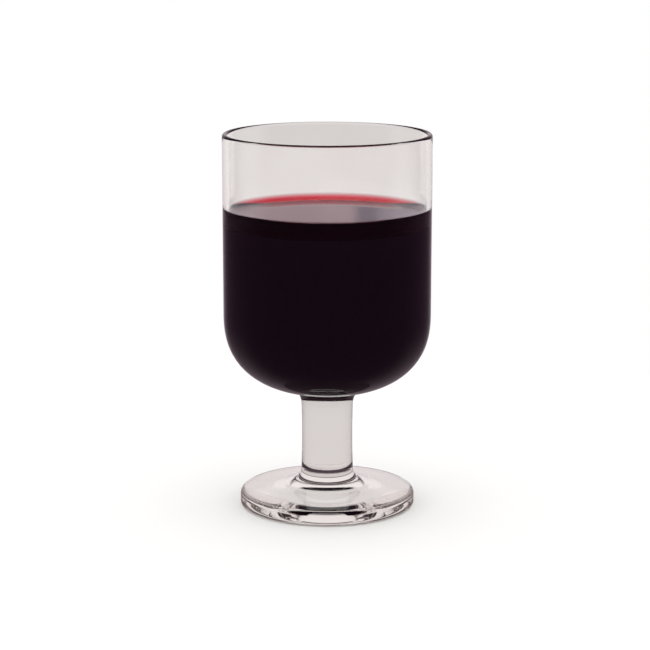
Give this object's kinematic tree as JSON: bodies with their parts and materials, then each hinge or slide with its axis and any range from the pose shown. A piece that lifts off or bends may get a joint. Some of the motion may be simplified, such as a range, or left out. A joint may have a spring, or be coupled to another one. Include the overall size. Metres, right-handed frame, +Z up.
{
  "type": "glass of red wine",
  "caption": "Clear goblet with an upright round-bottomed bowl on a short thick stem and a round foot, holding red wine below its rim.",
  "frame": {"origin": "middle of the foot's underside, in the plane that the glass rests on", "axes": "+Z up the axis of the turned form, from the foot to the rim"},
  "size_m": [0.075, 0.075, 0.136],
  "materials": {
    "clear_glass": "clear pressed soda-lime glass, fire-polished, with a faint warm grey tint",
    "red_wine": "still red wine, clear and so deep that it looks nearly black, red where it thins at the wall"
  },
  "bodies": {
    "root": {"glass": "clear_glass", "wine": "red_wine"}
  },
  "joints": []
}
